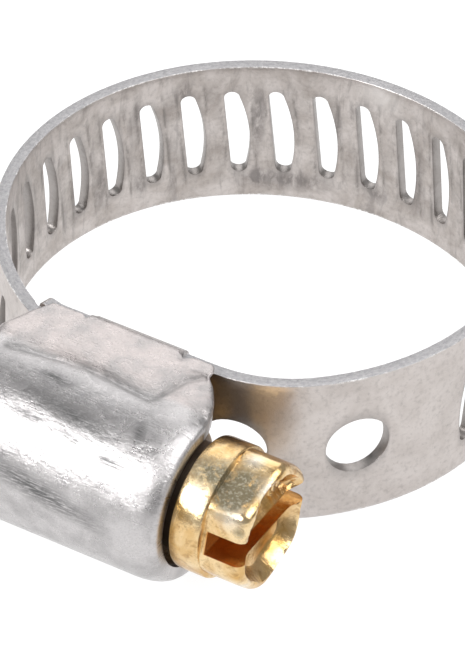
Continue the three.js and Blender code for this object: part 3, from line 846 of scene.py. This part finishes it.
def thread_ribbon(mesh):
    """The thread: a bar of trapezium section wound on the core, in step with the tail's slots."""
    start, end, steps = -3.9 * MM, 4.1 * MM, 180
    in_mesh = place_on_route(slot_at(25))[0] + AXIS.z * SLOT_LEAN
    section = [(-0.46, 2.75), (-0.21, 3.6), (0.21, 3.6), (0.46, 2.75)]
    grid = bmesh.ops.create_grid(mesh, x_segments=steps, y_segments=3, size=0.5)["verts"]
    for vert in grid:
        part = vert.co.x + 0.5
        across, radius = section[round((vert.co.y + 0.5) * 3)]
        x = start + (end - start) * part
        run_out = min(1, part * 12, (1 - part) * 12)
        angle = 2 * math.pi * (x - in_mesh) / PITCH
        radius = 2.75 * MM + (radius - 2.75) * MM * run_out
        y, z = AXIS.y + radius * math.cos(angle), AXIS.z + radius * math.sin(angle)
        vert.co = Vector((x + across * MM, y, z))
    faces = {f for v in grid for f in v.link_faces}
    bmesh.ops.recalc_face_normals(mesh, faces=list(faces))
    outward = 0
    for face in faces:
        from_axis = face.calc_center_median() - AXIS
        outward += face.normal.dot(Vector((0, from_axis.y, from_axis.z)))
    if outward < 0:
        bmesh.ops.reverse_faces(mesh, faces=list(faces))


def screw_finish():
    finish = Finish("gold_plate", metallic=1.0, roughness=0.25)
    place = finish.node("ShaderNodeTexCoord", {}, {}, output=3)
    lumps = finish.noise(place, 620.0, 4.0, 0.55, 0.5)
    fine = finish.noise(place, 2600.0, 6.0, 0.72, 0.3)
    pits = finish.noise(place, 6500.0, 5.0, 0.75)

    def patch_on_head(x, radius, degrees, reach, hardness=0.8):
        middle = around_axis(x * MM, radius * MM, math.radians(degrees))
        return finish.patch(place, middle, (reach * MM,) * 3, hardness=hardness)

    # Dull olive on the flat and a grey band on the collar: partly wear of the plating, partly
    # painted dark reflection. Silver on the corners: partly bare steel, partly painted highlight.
    wear_and_dark_reflection = patch_on_head(8.05, 2.6, 18, 1.5) + patch_on_head(7.95, 2.6, 36, 1.1) + patch_on_head(8.85, 2.6, 60, 0.36)
    wear_and_dark_reflection = wear_and_dark_reflection + patch_on_head(6.6, 3.1, 22, 1.1, 1.0)
    wear_and_dark_reflection = (wear_and_dark_reflection * finish.ramp(fine, 0.3, 0.5) * 1.3).clip()
    # Silver patches: bare steel on the corners, and painted highlight on the collar and one hex corner.
    bare_steel_and_highlight = patch_on_head(8.3, 2.8, 48, 0.85, 1.0) + patch_on_head(9.1, 2.6, 10, 0.75, 1.0)
    bare_steel_and_highlight = bare_steel_and_highlight + patch_on_head(7.9, 2.8, -12, 0.6, 1.0) + patch_on_head(9.2, 1.6, 200, 0.7, 1.0)
    bare_steel_and_highlight = bare_steel_and_highlight + patch_on_head(8.9, 2.8, 130, 0.5, 1.0) + patch_on_head(6.6, 3.1, 45, 0.8, 1.0)
    bare_steel_and_highlight = (bare_steel_and_highlight * finish.ramp(lumps, 0.3, 0.55)).clip()
    # Brown patches: tarnish spots on the head's end and hex, and painted dark reflection on the collar's top.
    tarnish_and_dark_reflection = patch_on_head(9.2, 1.85, 251, 0.42) + patch_on_head(9.1, 1.6, 160, 0.45)
    tarnish_and_dark_reflection = tarnish_and_dark_reflection + patch_on_head(6.5, 3.1, -26, 1.7, 0.8) * 0.9 + patch_on_head(8.3, 2.9, -42, 0.8, 1.0) * 0.5
    tarnish_and_dark_reflection = (tarnish_and_dark_reflection * finish.ramp(fine, 0.3, 0.5)).clip()
    # Painted shade inside the driver slot: its floor and walls are coloured a deep orange.
    parts = [finish.node("ShaderNodeSeparateXYZ", {}, {0: place}, output=n) for n in (0, 2)]
    off_slot = finish.node("ShaderNodeMath", {"operation": "ABSOLUTE"}, {0: parts[1] - (AXIS.z + SLOT_RISE)})
    slot_shade = finish.ramp(off_slot * 300, 0.16, 0.172)
    slot_shade = (1 - slot_shade) * finish.ramp(parts[0] * 100, 0.735, 0.745)
    gold, pale, deep = (0.58, 0.35, 0.12, 1), (0.78, 0.6, 0.35, 1), (0.3, 0.15, 0.04, 1)
    colour = finish.mix(finish.ramp(lumps, 0.38, 0.62), gold, pale)
    colour = finish.mix(finish.ramp(fine, 0.5, 0.68) * 0.6, colour, deep)
    cup = finish.ramp(parts[0] * 100, 0.85, 0.87) * patch_on_head(9.0, 0.0, 0, 2.55, 0.2)
    colour = finish.mix(cup * finish.ramp(lumps, 0.35, 0.6) * 0.75, colour, (0.45, 0.23, 0.07, 1))
    colour = finish.mix(bare_steel_and_highlight * 0.8, colour, (0.72, 0.7, 0.66, 1))
    colour = finish.mix(wear_and_dark_reflection * 0.92, colour, (0.16, 0.145, 0.1, 1))
    colour = finish.mix(wear_and_dark_reflection * finish.ramp(pits, 0.5, 0.62) * 0.6, colour, (0.5, 0.47, 0.38, 1))
    colour = finish.mix(tarnish_and_dark_reflection * 0.8, colour, (0.22, 0.13, 0.05, 1))
    colour = finish.mix(slot_shade * 0.85, colour, (0.5, 0.19, 0.02, 1))
    # Painted shade on the neck inside the housing's end: darker and rougher.
    neck_shade = finish.ramp(parts[0] * 100, 0.43, 0.45) * (1 - finish.ramp(parts[0] * 100, 0.57, 0.58))
    colour = finish.mix(neck_shade * 0.9, colour, (0.13, 0.1, 0.085, 1))
    finish.feed("Base Color", colour)
    finish.feed("Roughness", (neck_shade * 0.3 + lumps * 0.14 + fine * 0.22 + wear_and_dark_reflection * 0.3 + 0.03).clip())
    finish.bump(lumps * 1.5 + fine * 0.35 + wear_and_dark_reflection * pits * 1.1, 0.7, 0.06 * MM)
    return finish.material


screw = turned_screw()
screw.data.materials.append(screw_finish())
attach(screw, "screw")
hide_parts("screw")

# ---------------------------------------------------------------- studio
# Plain pale floor under the clamp, soft light all round, a window-shaped light from the front
# left that makes the barrel's bright band, and the camera.

floor_level = cad_box[0][2]
bpy.ops.mesh.primitive_plane_add(size=2, location=(0, 0, floor_level))
floor = bpy.context.object
floor.name = "floor"
floor_finish = Finish("pale_floor", metallic=0.0, roughness=0.9)
floor_finish.shader.inputs["Base Color"].default_value = (0.15, 0.15, 0.15, 1)
floor_finish.shader.inputs["Emission Color"].default_value = (1, 1, 1, 1)
floor_finish.shader.inputs["Emission Strength"].default_value = 0.93
floor.data.materials.append(floor_finish.material)

world = bpy.data.worlds.new("studio")
world.use_nodes = True
world.node_tree.nodes["Background"].inputs["Color"].default_value = (1.0, 1.0, 1.0, 1)
world.node_tree.nodes["Background"].inputs["Strength"].default_value = 0.38
bpy.context.scene.world = world


def soft_light(name, direction, distance, size, power):
    lamp = bpy.data.lights.new(name, "AREA")
    lamp.shape = "RECTANGLE"
    lamp.size, lamp.size_y = size
    lamp.energy = power
    holder = bpy.data.objects.new(name, lamp)
    bpy.context.scene.collection.objects.link(holder)
    aim = Vector(direction).normalized()
    holder.location = aim * distance
    holder.rotation_euler = aim.to_track_quat("Z", "Y").to_euler()


soft_light("front_left", (-0.38, -0.74, 0.57), 0.3, (0.2, 0.13), 0.75)
soft_light("back_left", (-0.38, 0.69, 0.62), 0.35, (0.3, 0.3), 0.42)
soft_light("high_right", (0.52, 0.08, 0.82), 0.35, (0.24, 0.34), 1.15)

AZIMUTH = math.radians(28.8)
ELEVATION = math.radians(38.17)
ROLL = math.radians(2.22)
DISTANCE = 217.5 * MM
AIM_RIGHT, AIM_UP = -1.327 * MM, -1.875 * MM
FOCAL = 261.5  # millimetres on a 36 mm sensor

away = Vector((
    math.sin(AZIMUTH) * math.cos(ELEVATION),
    -math.cos(AZIMUTH) * math.cos(ELEVATION),
    math.sin(ELEVATION),
))
level_right = Vector((math.cos(AZIMUTH), math.sin(AZIMUTH), 0))
level_up = away.cross(level_right)
right = level_right * math.cos(ROLL) + level_up * math.sin(ROLL)
up = level_up * math.cos(ROLL) - level_right * math.sin(ROLL)
lens = bpy.data.cameras.new("camera")
lens.lens = FOCAL
lens.sensor_width = 36
lens.clip_start = 0.01
camera = bpy.data.objects.new("camera", lens)
bpy.context.scene.collection.objects.link(camera)
eye = away * DISTANCE
target = right * AIM_RIGHT + up * AIM_UP
back = (eye - target).normalized()
right = (right - back * right.dot(back)).normalized()
up = back.cross(right)
camera.matrix_world = Matrix.Translation(eye) @ Matrix((right, up, back)).transposed().to_4x4()
bpy.context.scene.camera = camera
bpy.context.scene.view_settings.view_transform = "Standard"
